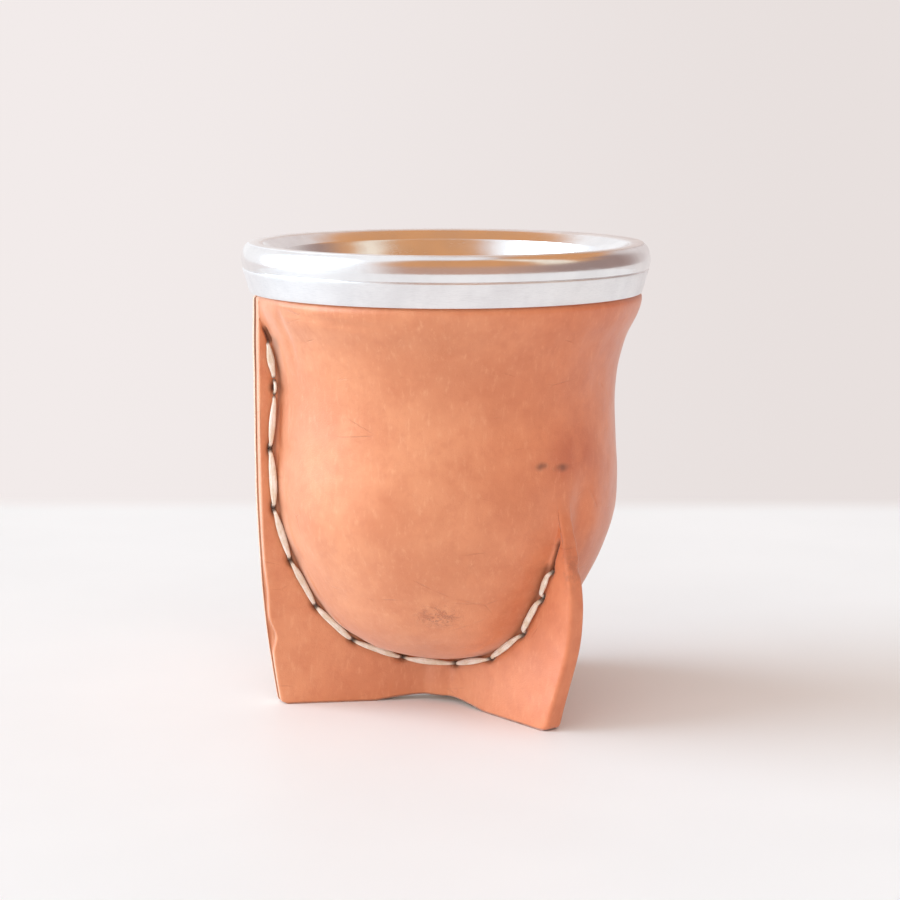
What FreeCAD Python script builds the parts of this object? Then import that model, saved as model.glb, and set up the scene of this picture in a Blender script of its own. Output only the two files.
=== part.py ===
"""Leather-covered mate gourd: a drinking cup on three leather feet, without its drink.

A calabash shell sits in a cover made of one piece of thick leather. The leather is wrapped round the gourd,
and its two ends meet in a seam fin that runs from the rim to the table. Below the belly it is also pinched
into two folded fins, and the three fins are the feet. Lacing holds the layers together close to the gourd.
A turned aluminium rim clamps the top edge and lines the mouth with a funnel.

Frame: millimetres, +Z up, origin on the gourd's axis at the table. -Y is the front, and the seam fin is at -X.
"""

import FreeCAD
import Part
import math
import os

Vec = FreeCAD.Vector
UP = Vec(0, 0, 1)
ORIGIN = Vec(0, 0, 0)

# ---- driving dimensions -----------------------------------------------------------------------------------
SEAM, FRONT, BACK = "seam", "front", "back"
RIM_RADIUS = 41.4            # the widest point of the rim's bead
RIM_BASE_Z = 84.8            # the rim's lower edge, above the table
RIM_HEIGHT = 9.9             # from the lower edge to the flat top
BAND_HEIGHT = 4.7            # the tapered band under the bead
BAND_FOOT_RADIUS = 39.75     # the band's outside at its lower edge
BAND_WALL = 0.9
LIP_RADIUS = 37.5            # where the flat top ends and the lip starts to slope inwards
LIP_DROP = 1.6               # how far the lip slopes down to the funnel
MOUTH_RADIUS = 33.5          # the edge of the funnel at the foot of that slope
THROAT_RADIUS = 27.8         # the inside of the funnel's foot
FUNNEL_DEPTH = 22.0          # from the flat top down to the funnel's foot
FUNNEL_WALL = 0.9
HEAD_WALL = 3.6              # metal between the flat top and the gourd's edge
LEATHER = 2.0                # thickness of the hide
FIN_THICKNESS = 4.0          # two layers pressed together
SLIT = 0.2                   # the gap between the two layers of a fin
SLIT_START = 3.0             # how far from the axis the layers part
SLIT_TOP_Z = 34.0            # where the layers of a folded fin run together into the gourd's cover
GOURD_WALL = 3.6
FIT = 0.12                   # clearance between neighbouring pieces
THREAD_RADIUS = 0.6
FOOT_ARCH_RADIUS = 15.0      # the middle of the underside is lifted off the table over this radius
FOOT_ARCH_HEIGHT = 1.4
SEAM_MARGIN = 4.5            # how far the seam fin stands out beyond the belly, above the feet
FOLD_MARGIN = {FRONT: 3.75, BACK: 3.05}      # and the folded fins

RIM_TOP_Z = RIM_BASE_Z + RIM_HEIGHT
COVER_TOP_Z = RIM_BASE_Z - FIT
NECK_RADIUS = BAND_FOOT_RADIUS - BAND_WALL - 2 * FIT - LEATHER     # outside of the gourd inside the rim
BELLY_RADIUS = 35.25         # outside of the leather at the belly
WAIST_RADIUS = 34.5          # and at the waist
SHOULDER_RADIUS = 39.6       # and just under the rim
BELLY_Z = 47.5
WAIST_Z = 62.0
COVER_BOTTOM_Z = 9.0         # the lowest point of the leather under the gourd

# The outside of the leather round the gourd, as height and radius from the bottom to the rim.
BOTTOM_ROUND = [(0, 0), (0.5, 5.5), (1.5, 10.2), (3.9, 17.0), (7.9, 22.6), (12.4, 26.4), (17.4, 29.3), (23.4, 32.1)]
COVER_OUTLINE = [(COVER_BOTTOM_Z + dz, r) for dz, r in BOTTOM_ROUND] + [
    (BELLY_Z - 7.5, BELLY_RADIUS - 0.6),
    (BELLY_Z, BELLY_RADIUS),
    (BELLY_Z + 7.5, BELLY_RADIUS - 0.35),
    (WAIST_Z, WAIST_RADIUS),
    (WAIST_Z + 5.5, WAIST_RADIUS + 0.2),
    (RIM_BASE_Z - 13.0, WAIST_RADIUS + 0.95),
    (RIM_BASE_Z - 8.6, SHOULDER_RADIUS - 2.8),
    (RIM_BASE_Z - 4.6, SHOULDER_RADIUS - 0.8),
    (RIM_BASE_Z - 1.8, SHOULDER_RADIUS + 0.1),
    (COVER_TOP_Z, SHOULDER_RADIUS),
]

# Each fin: its direction in degrees at the table and higher up, and the rule for its outer edge.
FIN_FOOT_ANGLE = {SEAM: 188.5, FRONT: -48.3, BACK: 66.0}
SEAM_TOP_ANGLE = 194.9       # the seam fin twists forward as it rises
TWIST_START_Z, TWIST_END_Z = 5.0, 50.0
SEAM_FOOT_REACH = 33.5       # from the axis to the seam fin's edge at the table
SEAM_TOP_REACH = BELLY_RADIUS + SEAM_MARGIN      # and from halfway up to the rim
SEAM_STRAIGHT_Z = 60.0       # the height where the edge becomes upright
SEAM_CURVE = 1.95            # the power by which it draws in below that
FOLD_REACH = {fin: BELLY_RADIUS + margin for fin, margin in FOLD_MARGIN.items()}
FOLD_WIDEST_Z = 25.0
FOLD_DRAW, FOLD_CURVE = 0.034, 1.6   # how fast a folded fin's edge draws in above and below that height
FOLD_ROUND = 1.7             # how far back from its edge a fold is rounded
SEAM_ROUND = 0.8
CENTRE_RADIUS = 4.5          # the fins run together within this radius
CREASE = 1.5                 # softness of the crease between fin and gourd
FOOT_CREASE = 3.0            # and near the table

# Lacing holes, as lengths along the gourd's outline from the middle of the underside.
HOLES = {
    SEAM: [9.2, 20.8, 32.2, 43.4, 55.0, 67.4, 80.0, 89.2],
    FRONT: [5.5, 16.8, 27.8, 37.6, 44.5],
    BACK: [6.0, 16.8, 27.6, 37.6],
}
LACE_OFFSET = 1.8            # from the gourd's outline out to the lacing
STITCH_LIFT = 0.75           # from the leather out to a stitch's centreline at its holes
HOLE_RADIUS = 0.7

FLANK_STEPS = 24             # samples along a fin's flank
PANEL_STEPS = 40             # samples across a panel
COLUMNS_PER_PANEL = 46       # columns of the fitted surface between two fins
EDGE_STEP, EDGE_POINTS = 0.6, 10     # the columns' spacing and number near a fin's edge
ROW_HEIGHTS = [0, 1.2, 2.6, 4.2, 6, 7.6, 9, 10.4, 12, 14, 16.5, 19.5, 23, 27, 31, 34.5, 37.5, 40, 42.5, 45, 48,
               52, 57, 62, 66.5, 70.5, 74, 77, 80, 82.5]


# ---- shape rules ------------------------------------------------------------------------------------------
def smooth_step(value, low, high):
    t = min(1.0, max(0.0, (value - low) / (high - low)))
    return t * t * (3 - 2 * t)


def soft_max(a, b, softness):
    """The larger of two values, with a rounded change from one to the other."""
    overlap = max(softness - abs(a - b), 0.0) / softness
    return max(a, b) + overlap * overlap * softness / 4


def outline_curve(points):
    """A smooth curve through (height, radius) points in the XZ plane, level where it starts on the axis."""
    curve = Part.BSplineCurve()
    curve.interpolate(Points=[Vec(r, 0, z) for z, r in points], InitialTangent=Vec(1, 0, 0),
                      FinalTangent=Vec(points[-1][1] - points[-2][1], 0, points[-1][0] - points[-2][0]))
    return curve


def outline_samples(points, count):
    curve = outline_curve(points)
    first, last = curve.FirstParameter, curve.LastParameter
    return [curve.value(first + (last - first) * i / count) for i in range(count + 1)]


COVER_SAMPLES = outline_samples(COVER_OUTLINE, 400)


def inset_outline(inset, top_z, count):
    """The cover's outline moved inwards by a distance, as (height, radius) points up to a height."""
    points = [(COVER_BOTTOM_Z + inset, 0.0)]
    samples = outline_samples(COVER_OUTLINE, count)
    for before, here, after in zip(samples, samples[1:], samples[2:]):
        along = (after - before).normalize()
        z, r = here.z + along.x * inset, here.x - along.z * inset
        if z < top_z:
            points.append((z, r))
    return points


def cover_radius(z):
    """Radius of the leather round the gourd at height z, and 0 below the gourd."""
    if z <= COVER_BOTTOM_Z:
        return 0.0
    for low, high in zip(COVER_SAMPLES, COVER_SAMPLES[1:]):
        if low.z <= z <= high.z and high.z > low.z:
            t = (z - low.z) / (high.z - low.z)
            return low.x + t * (high.x - low.x)
    return COVER_SAMPLES[-1].x


def fin_angle(fin, z):
    angle = FIN_FOOT_ANGLE[fin]
    if fin == SEAM:
        angle += (SEAM_TOP_ANGLE - angle) * smooth_step(z, TWIST_START_Z, TWIST_END_Z)
    return math.radians(angle)


def fin_reach(fin, z):
    """Distance from the axis to a fin's outer edge at height z."""
    if fin == SEAM:
        below = max(0.0, 1 - max(z, 0.0) / SEAM_STRAIGHT_Z)
        return SEAM_TOP_REACH - (SEAM_TOP_REACH - SEAM_FOOT_REACH) * below ** SEAM_CURVE
    return max(FOLD_REACH[fin] - FOLD_DRAW * abs(z - FOLD_WIDEST_Z) ** FOLD_CURVE, FOLD_REACH[fin] / 2)


def fin_radius(fin, z, turn):
    """Radius at which a ray, turned by this angle from the fin's middle plane, leaves the fin."""
    half = FIN_THICKNESS / 2
    reach = fin_reach(fin, z)
    rounding = SEAM_ROUND if fin == SEAM else FOLD_ROUND
    turn = abs(turn)
    if turn >= math.pi / 2:
        return half
    flank = half / max(math.sin(turn), 1e-6)
    low, high = 0.0, min(flank, reach / math.cos(turn))
    for _ in range(40):
        r = (low + high) / 2
        along, across = r * math.cos(turn), r * math.sin(turn)
        cap = max(0.0, (along - (reach - rounding)) / rounding)
        if cap ** 2.4 + (across / half) ** 6 > 1:
            high = r
        else:
            low = r
    return low


def turn_between(angle, fin, z):
    return (angle - fin_angle(fin, z) + math.pi) % (2 * math.pi) - math.pi


def cover_surface_radius(angle, z):
    """Radius of the outside of the whole cover, gourd and fins, in one direction."""
    softness = FOOT_CREASE + (CREASE - FOOT_CREASE) * smooth_step(z, 6, 30)
    softness *= 1 - 0.7 * smooth_step(z, RIM_BASE_Z - 15, RIM_BASE_Z - 3)
    radius = max(cover_radius(z), CENTRE_RADIUS)
    for fin in (SEAM, FRONT, BACK):
        radius = soft_max(radius, fin_radius(fin, z, turn_between(angle, fin, z)), softness)
    return radius


def fin_turns(fin, z):
    """Angles from a fin's middle plane that follow its end face and flank evenly."""
    half = FIN_THICKNESS / 2
    reach = fin_reach(fin, z)
    across = [half * i / 6 / reach for i in range(7)]
    along = [math.atan2(half, reach * (1 - (i + 0.5) / FLANK_STEPS)) for i in range(FLANK_STEPS)]
    return [t for t in across + along if t < math.radians(50)]


def panel_row(fin, following, z):
    """Points along the cover's outside at height z, from the edge of one fin to the edge of the next."""
    start = fin_angle(fin, z)
    span = (fin_angle(following, z) - start) % (2 * math.pi)
    turns = {start + t for t in fin_turns(fin, z)} | {start + span - t for t in fin_turns(following, z)}
    turns |= {start + span * k / PANEL_STEPS for k in range(PANEL_STEPS + 1)}
    points = []
    for a in sorted(turns):
        r = cover_surface_radius(a, z)
        points.append(Vec(r * math.cos(a), r * math.sin(a), z))
    return spread(points, COLUMNS_PER_PANEL)


def spread(points, count):
    """Points along a polyline: close together at both ends, where the fins' edges are, and even between."""
    lengths = [0.0]
    for a, b in zip(points, points[1:]):
        lengths.append(lengths[-1] + (b - a).Length)
    close = [EDGE_STEP * i for i in range(EDGE_POINTS)]
    inner = lengths[-1] - 2 * close[-1]
    steps = count - 2 * (EDGE_POINTS - 1)
    targets = close + [close[-1] + inner * i / steps for i in range(1, steps)] + [lengths[-1] - c for c in close[::-1]]
    result, k = [], 0
    for target in targets:
        while k < len(lengths) - 2 and lengths[k + 1] < target:
            k += 1
        t = (target - lengths[k]) / (lengths[k + 1] - lengths[k])
        result.append(points[k] + (points[k + 1] - points[k]) * t)
    return result


# ---- pieces -----------------------------------------------------------------------------------------------
def revolve(edges):
    return Part.Face(Part.Wire(edges)).revolve(ORIGIN, UP, 360)


def line(a, b):
    return Part.LineSegment(a, b).toShape()


def rz(r, z):
    return Vec(r, 0, z)


def rim():
    """The turned aluminium rim: band, bead, flat top and funnel in one piece."""
    band_top = RIM_BASE_Z + BAND_HEIGHT
    seat = BAND_FOOT_RADIUS - BAND_WALL
    head = RIM_TOP_Z - HEAD_WALL
    foot = RIM_TOP_Z - FUNNEL_DEPTH
    band_top_radius = RIM_RADIUS - 0.25
    groove = 0.25
    bead_crown = rz(RIM_RADIUS, band_top + 1.9)
    corner = rz(RIM_RADIUS - 1.5, RIM_TOP_Z)
    lip = rz(LIP_RADIUS, RIM_TOP_Z)
    slope_foot = rz(MOUTH_RADIUS + 0.5, RIM_TOP_Z - LIP_DROP)
    mouth = rz(MOUTH_RADIUS - 0.25, RIM_TOP_Z - LIP_DROP - 0.75)
    inner_foot = rz(THROAT_RADIUS, foot)
    inner = Part.BSplineCurve()
    inner.interpolate([mouth, rz(MOUTH_RADIUS - 1.9, RIM_TOP_Z - 5.6),
                       rz(THROAT_RADIUS + 1.6, RIM_TOP_Z - 11.5), inner_foot])
    outer_top = rz(MOUTH_RADIUS - 0.7, head)
    outer = Part.BSplineCurve()
    outer.interpolate([rz(THROAT_RADIUS + FUNNEL_WALL, foot), rz(THROAT_RADIUS + 1.6 + FUNNEL_WALL, RIM_TOP_Z - 11.5),
                       rz(MOUTH_RADIUS - 1.9 + FUNNEL_WALL, RIM_TOP_Z - 5.8), outer_top])
    bead = Part.BSplineCurve()
    bead.interpolate([rz(band_top_radius, band_top + 0.35), bead_crown,
                      rz(RIM_RADIUS - 0.45, RIM_TOP_Z - 1.2), corner])
    edges = [
        line(rz(seat, RIM_BASE_Z), rz(BAND_FOOT_RADIUS, RIM_BASE_Z)),
        line(rz(BAND_FOOT_RADIUS, RIM_BASE_Z), rz(band_top_radius, band_top)),
        line(rz(band_top_radius, band_top), rz(band_top_radius - groove, band_top + 0.15)),
        line(rz(band_top_radius - groove, band_top + 0.15), rz(band_top_radius, band_top + 0.35)),
        bead.toShape(),
        line(corner, lip),
        line(lip, slope_foot),
        Part.Arc(slope_foot, rz(MOUTH_RADIUS, RIM_TOP_Z - LIP_DROP - 0.28), mouth).toShape(),
        inner.toShape(),
        line(inner_foot, rz(THROAT_RADIUS + FUNNEL_WALL, foot)),
        outer.toShape(),
        line(outer_top, rz(seat, head)),
        line(rz(seat, head), rz(seat, RIM_BASE_Z)),
    ]
    return revolve(edges)


def gourd_solid(inset, neck_radius, top_z):
    """A solid the shape of the gourd: the cover's outline moved inwards, with a straight neck."""
    points = inset_outline(inset, RIM_BASE_Z - 10, 30)
    points += [(RIM_BASE_Z - 4.5, neck_radius - 0.35), (RIM_BASE_Z, neck_radius)]
    bottom, neck = rz(0, points[0][0]), rz(neck_radius, RIM_BASE_Z)
    edges = [outline_curve(points).toShape(), line(neck, rz(neck_radius, top_z)),
             line(rz(neck_radius, top_z), rz(0, top_z)), line(rz(0, top_z), bottom)]
    return revolve(edges)


def gourd():
    """The dried calabash: a round-bottomed shell, open at the top."""
    top = RIM_TOP_Z - HEAD_WALL - FIT
    shell = gourd_solid(LEATHER + FIT, NECK_RADIUS, top)
    return shell.cut(gourd_solid(LEATHER + FIT + GOURD_WALL, NECK_RADIUS - GOURD_WALL, top + 1))


def fitted_surface(rows):
    """A smooth surface that follows a grid of points."""
    def clamped(count):
        return [4] + [1] * (count - 4) + [4], list(range(count - 2))
    (u_mults, u_knots), (v_mults, v_knots) = clamped(len(rows)), clamped(len(rows[0]))
    surface = Part.BSplineSurface()
    surface.buildFromPolesMultsKnots(rows, u_mults, v_mults, u_knots, v_knots, False, False, 3, 3)
    return surface


def cover_block():
    """The outside of the leather as a full solid, up to its shoulder under the rim."""
    sides = [fitted_surface([panel_row(fin, following, z) for z in ROW_HEIGHTS + [COVER_TOP_Z]]).toShape()
             for fin, following in ((SEAM, FRONT), (FRONT, BACK), (BACK, SEAM))]
    faces = list(sides)
    for z in (ROW_HEIGHTS[0], COVER_TOP_Z):
        ring = [e for side in sides for e in side.Edges if abs(e.BoundBox.ZMin - z) + abs(e.BoundBox.ZMax - z) < 1e-3]
        faces.append(Part.Face(Part.Wire(Part.__sortEdges__(ring))))
    shell = Part.makeShell(faces)
    shell.sewShape()
    block = Part.makeSolid(shell)
    return block if block.Volume > 0 else block.reversed()


def slit_tool(fin, levels, inner, margin):
    """A thin upright plate in a fin's middle plane, which reaches past or short of its edge by a margin."""
    wires = []
    for z in levels:
        a = fin_angle(fin, z)
        along, across = Vec(math.cos(a), math.sin(a), 0), Vec(-math.sin(a), math.cos(a), 0)
        far = fin_reach(fin, z) + margin
        corners = [along * s + across * w + Vec(0, 0, z)
                   for s, w in ((inner, -SLIT / 2), (far, -SLIT / 2), (far, SLIT / 2), (inner, SLIT / 2))]
        wires.append(Part.makePolygon(corners + corners[:1]))
    return Part.makeLoft(wires, True, True)


def leather_cover():
    """One piece of leather round the gourd, with its seam fin, its folded fins and the laced holes."""
    collar_outer = BAND_FOOT_RADIUS - BAND_WALL - FIT
    collar_top = RIM_TOP_Z - HEAD_WALL - 1.0
    collar = Part.makeCylinder(collar_outer, collar_top - COVER_TOP_Z + 2, Vec(0, 0, COVER_TOP_Z - 2))
    cover = cover_block().fuse(collar)
    room = gourd_solid(LEATHER, NECK_RADIUS + FIT, collar_top + 2)
    arch_ball = (FOOT_ARCH_RADIUS ** 2 + FOOT_ARCH_HEIGHT ** 2) / (2 * FOOT_ARCH_HEIGHT)
    arch = Part.makeSphere(arch_ball, Vec(0, 0, FOOT_ARCH_HEIGHT - arch_ball))
    seam_levels = [-1, TWIST_START_Z, 14, 22, 30, 38, TWIST_END_Z, collar_top + 1]
    tools = [room, arch, slit_tool(SEAM, seam_levels, SLIT_START, LEATHER)]
    tools += [slit_tool(fin, [-1, 12, 23, SLIT_TOP_Z], SLIT_START, -LEATHER) for fin in (FRONT, BACK)]
    tools += [lace_pin(fin, d, HOLE_RADIUS, 2.0) for fin in HOLES for d in HOLES[fin]]
    for tool in tools:
        cover = cover.cut(tool)
    return cover


# ---- lacing -----------------------------------------------------------------------------------------------
def lace_path(fin):
    """Points of a lacing line in the fin's plane, as (reach, height), from the middle of the underside."""
    shape = [(p.x, p.z) for p in COVER_SAMPLES]
    path = []
    for (r0, z0), (r1, z1) in zip(shape, shape[1:]):
        run, rise = r1 - r0, z1 - z0
        length = math.hypot(run, rise)
        path.append(((r0 + r1) / 2 + LACE_OFFSET * rise / length, (z0 + z1) / 2 - LACE_OFFSET * run / length))
    return path


def point_along(path, distance):
    for (r0, z0), (r1, z1) in zip(path, path[1:]):
        step = math.hypot(r1 - r0, z1 - z0)
        if distance <= step:
            return r0 + (r1 - r0) * distance / step, z0 + (z1 - z0) * distance / step
        distance -= step
    return path[-1]


def face_point(fin, side, reach, z, lift):
    """A point on one face of a fin. side is +1 for the face on the way to a larger angle."""
    a = fin_angle(fin, z)
    low, high = 0.0, math.pi / 3
    for _ in range(40):
        turn = (low + high) / 2
        if cover_surface_radius(a + side * turn, z) * math.cos(turn) > reach:
            low = turn
        else:
            high = turn
    across = reach * math.tan(low) + lift
    return Vec(math.cos(a), math.sin(a), 0) * reach + Vec(-math.sin(a), math.cos(a), 0) * side * across + Vec(0, 0, z)


def rod(start, end, radius):
    return Part.makeCylinder(radius, (end - start).Length, start, end - start)


def lace_pin(fin, distance, radius, lift):
    """A round pin through both layers of a fin at one lacing hole."""
    reach, z = point_along(lace_path(fin), distance)
    a, b = (face_point(fin, side, reach, z, lift) for side in (-1, 1))
    return rod(a, b, radius)


def lacing(fin):
    """One lace: a pin through every hole, and a stitch between neighbouring holes on both faces."""
    path = lace_path(fin)
    solids = [lace_pin(fin, d, THREAD_RADIUS, STITCH_LIFT) for d in HOLES[fin]]
    middles = [(a + b) / 2 for a, b in zip(HOLES[fin], HOLES[fin][1:])]
    stops = sorted(HOLES[fin] + middles)
    for side in (-1, 1):
        line_points = [face_point(fin, side, *point_along(path, d), STITCH_LIFT) for d in stops]
        solids += [Part.makeSphere(THREAD_RADIUS, p) for p in line_points]
        solids += [rod(a, b, THREAD_RADIUS) for a, b in zip(line_points, line_points[1:])]
    return solids[0].fuse(solids[1:]).removeSplitter()


def main():
    os.makedirs("parts", exist_ok=True)
    pieces = {"rim": rim(), "gourd": gourd(), "leather_cover": leather_cover()}
    pieces.update({"lacing_" + fin: lacing(fin) for fin in HOLES})
    for name, shape in pieces.items():
        solid = shape.Solids[0]
        print(name, "solids", len(shape.Solids), "valid", solid.isValid(), "volume", round(solid.Volume, 1))
        solid.exportStep("parts/%s.step" % name)


main()
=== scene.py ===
"""Looks of a leather-covered mate gourd cup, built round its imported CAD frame.

All sizes below are in millimetres and turn into metres only where a mesh is made. The frame is the CAD's:
+Z up, the origin on the gourd's axis at the table, -Y the front, and the seam fin at -X.
"""

import math

import bpy
import numpy as np
from mathutils import Matrix, Vector, noise

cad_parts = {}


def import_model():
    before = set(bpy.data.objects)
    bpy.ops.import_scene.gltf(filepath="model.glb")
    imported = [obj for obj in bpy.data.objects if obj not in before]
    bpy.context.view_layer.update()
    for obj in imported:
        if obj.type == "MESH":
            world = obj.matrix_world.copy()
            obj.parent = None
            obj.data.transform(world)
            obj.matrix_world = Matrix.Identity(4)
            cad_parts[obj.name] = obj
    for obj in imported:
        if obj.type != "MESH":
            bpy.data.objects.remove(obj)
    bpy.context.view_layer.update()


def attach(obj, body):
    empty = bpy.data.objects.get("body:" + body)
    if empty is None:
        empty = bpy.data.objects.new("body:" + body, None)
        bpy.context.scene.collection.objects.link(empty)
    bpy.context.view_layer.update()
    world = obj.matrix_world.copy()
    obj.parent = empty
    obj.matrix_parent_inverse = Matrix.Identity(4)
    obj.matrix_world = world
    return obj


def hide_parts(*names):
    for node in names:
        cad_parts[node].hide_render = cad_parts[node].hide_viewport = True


MM = 0.001
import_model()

# ---- driving dimensions ------------------------------------------------------
# These are the CAD's, but the fins' feet, rounded edges and creases, and the lacing and its holes,
# differ from it by up to 3 mm.
RIM_RADIUS = 41.4
RIM_BASE_Z = 84.8
RIM_HEIGHT = 9.9
BAND_HEIGHT = 4.7
BAND_FOOT_RADIUS = 39.75
BAND_WALL = 0.9
LIP_RADIUS, LIP_DROP = 37.5, 1.6
MOUTH_RADIUS = 33.5
THROAT_RADIUS = 27.8
FUNNEL_DEPTH = 22.0
FUNNEL_WALL = 0.9
HEAD_WALL = 3.6
LEATHER = 2.0
FIN_THICKNESS = 4.0
GOURD_WALL = 3.6
RIM_TOP_Z = RIM_BASE_Z + RIM_HEIGHT
BELLY_RADIUS, WAIST_RADIUS, SHOULDER_RADIUS = 35.25, 34.5, 39.6
BELLY_Z, WAIST_Z = 47.5, 62.0
COVER_BOTTOM_Z = 9.0
FOOT_ARCH_RADIUS, FOOT_ARCH_HEIGHT = 15.0, 1.4

BOTTOM_ROUND = [(0, 0), (0.5, 5.5), (1.5, 10.2), (3.9, 17.0),
                (7.9, 22.6), (12.4, 26.4), (17.4, 29.3), (23.4, 32.1)]
COVER_OUTLINE = [(COVER_BOTTOM_Z + dz, r) for dz, r in BOTTOM_ROUND] + [
    (BELLY_Z - 7.5, BELLY_RADIUS - 0.6),
    (BELLY_Z, BELLY_RADIUS),
    (BELLY_Z + 7.5, BELLY_RADIUS - 0.35),
    (WAIST_Z, WAIST_RADIUS),
    (WAIST_Z + 5.5, WAIST_RADIUS + 0.2),
    (RIM_BASE_Z - 13.0, WAIST_RADIUS + 0.95),
    (RIM_BASE_Z - 8.6, SHOULDER_RADIUS - 2.8),
    (RIM_BASE_Z - 4.6, SHOULDER_RADIUS - 0.8),
    (RIM_BASE_Z - 1.8, SHOULDER_RADIUS + 0.1),
    (RIM_BASE_Z, SHOULDER_RADIUS),
]

SEAM, FRONT, BACK = 0, 1, 2
FINS = (SEAM, FRONT, BACK)
FIN_FOOT_ANGLE = (188.5, -51.8, 66.0)
FIN_TOP_ANGLE = (194.9, -48.3, 66.0)
FIN_TWIST_Z = ((5.0, 50.0), (1.0, 20.0), (0.0, 1.0))     # where each fin turns from one angle to the other
SEAM_FOOT_REACH, SEAM_TOP_REACH = 35.0, 39.75
SEAM_STRAIGHT_Z, SEAM_CURVE = 60.0, 2.05
FOLD_REACH = (None, 39.0, 38.3)
FOLD_WIDEST_Z = 25.0
FOLD_DRAW, FOLD_FOOT_DRAW, FOLD_CURVE = 0.034, (None, 0.025, 0.034), 1.6
FOLD_ROUND, SEAM_ROUND = 1.1, 0.5
TOE_ROUND, SEAM_TOE_ROUND = 1.3, 1.2
FACE_POWER, FLANK_POWER = 2.4, 6     # how square a fin's section is, end-on and side-on
RAY_STEPS = 26                       # halvings in the search for where a ray leaves a fin
CENTRE_RADIUS = 4.5                  # of the core that joins the fins below the gourd
CREASE, FOOT_CREASE = 1.0, 3.2       # softness of the crease beside a fin, higher up and at the table
FOOT_CREASE_Z = (3.0, 10.0)
# Each dent is a depth, the place of its middle and its half width.
SEAM_NOTCHES = ((1.1, 14.5, 2.6), (0.35, 24.0, 5.0))     # along the height, in the seam's front layer
SHOULDER_SLIM = (1.4, 188.0, 16.0)                       # round the cup, in degrees, beside the seam
SHOULDER_SLIM_Z = (75.0, 80.0)
HOLES = (                            # lengths on the lacing's line, for each fin
    (9.1, 20.3, 31.2, 42.5, 54.1, 66.4, 78.9, 88.4),
    (5.5, 16.6, 27.8, 37.4, 44.2),
    (6.0, 16.8, 27.6, 37.6),
)
LACE_OFFSET = 1.2              # from the gourd's outline out to the lacing
LACE_WANDER = ((0.8, 67.0, 8.0), (-0.7, 91.0, 8.0))      # outwards, at a length on the outline
LACE_WIDTH, LACE_THICKNESS = 1.35, 0.8
OPEN_ENDS = ((SEAM, 88.4, 90.6, 1, -0.3), (FRONT, 44.2, 50.0, -1, -0.2))   # fin, lengths, side, offset
LAYER_SETBACK = (0.2, 0.6)     # how far the seam's back and front layers stop short of the reach


# ---- shape rules, on numpy arrays --------------------------------------------
def smooth_step(value, low, high):
    t = np.clip((value - low) / (high - low), 0.0, 1.0)
    return t * t * (3 - 2 * t)


def soft_max(a, b, softness):
    overlap = np.maximum(softness - np.abs(a - b), 0.0) / softness
    return np.maximum(a, b) + overlap * overlap * softness / 4


def bump(value, centre, width):
    return np.exp(-((value - centre) / width) ** 2)


def dense_curve(points, per_span=40):
    """A smooth curve through points, as a polyline (Catmull-Rom)."""
    p = np.array(points, float)
    p = np.vstack([2 * p[0] - p[1], p, 2 * p[-1] - p[-2]])
    t = np.linspace(0, 1, per_span, endpoint=False)[:, None]
    spans = []
    for a, b, c, d in zip(p, p[1:], p[2:], p[3:]):
        spans.append(0.5 * (2 * b + (c - a) * t + (2 * a - 5 * b + 4 * c - d) * t ** 2
                            + (3 * b - a - 3 * c + d) * t ** 3))
    return np.vstack(spans + [p[-2][None]])


def lengths_along(points):
    return np.concatenate([[0.0], np.cumsum(np.linalg.norm(np.diff(points, axis=0), axis=1))])


OUTLINE = dense_curve([(r, z) for z, r in COVER_OUTLINE])
OUTLINE[:, 1] = np.maximum.accumulate(OUTLINE[:, 1])


def cover_radius(z):
    return np.where(z <= COVER_BOTTOM_Z, 0.0, np.interp(z, OUTLINE[:, 1], OUTLINE[:, 0]))


def fin_angle(fin, z):
    foot, top = FIN_FOOT_ANGLE[fin], FIN_TOP_ANGLE[fin]
    return np.radians(foot + (top - foot) * smooth_step(z, *FIN_TWIST_Z[fin]))


def fin_reach(fin, z):
    if fin == SEAM:
        below = np.clip(1 - np.maximum(z, 0.0) / SEAM_STRAIGHT_Z, 0.0, 1.0)
        return SEAM_TOP_REACH - (SEAM_TOP_REACH - SEAM_FOOT_REACH) * below ** SEAM_CURVE
    draw = np.where(z < FOLD_WIDEST_Z, FOLD_FOOT_DRAW[fin], FOLD_DRAW)
    reach = FOLD_REACH[fin] - draw * np.abs(z - FOLD_WIDEST_Z) ** FOLD_CURVE
    return np.maximum(reach, FOLD_REACH[fin] / 2)


def foot_rounding(z, radius):
    """How far an edge draws in where its lower corner is rounded."""
    low = np.clip(1 - z / radius, 0.0, 1.0)
    return radius * (1 - np.sqrt(1 - low * low))


def fin_radius(fin, z, turn):
    """Radius at which a ray, turned by this angle from the fin's middle plane, leaves the fin."""
    half = FIN_THICKNESS / 2
    reach = fin_reach(fin, z)
    if fin == SEAM:
        rounding = SEAM_ROUND
        notch = sum(depth * bump(z, *place) for depth, *place in SEAM_NOTCHES)
        back, front = LAYER_SETBACK
        reach = reach - np.where(turn > 0, front + notch, back) - foot_rounding(z, SEAM_TOE_ROUND)
    else:
        rounding = FOLD_ROUND
        reach = reach - foot_rounding(z, TOE_ROUND)
    turn = np.abs(turn)
    flank = half / np.maximum(np.sin(turn), 1e-6)
    low = np.zeros_like(turn)
    high = np.minimum(flank, reach / np.maximum(np.cos(turn), 1e-3))
    for _ in range(RAY_STEPS):
        r = (low + high) / 2
        cap = np.maximum(0.0, (r * np.cos(turn) - (reach - rounding)) / rounding)
        outside = cap ** FACE_POWER + (r * np.sin(turn) / half) ** FLANK_POWER > 1
        high = np.where(outside, r, high)
        low = np.where(outside, low, r)
    return np.where(turn >= math.pi / 2, half, low)


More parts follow.
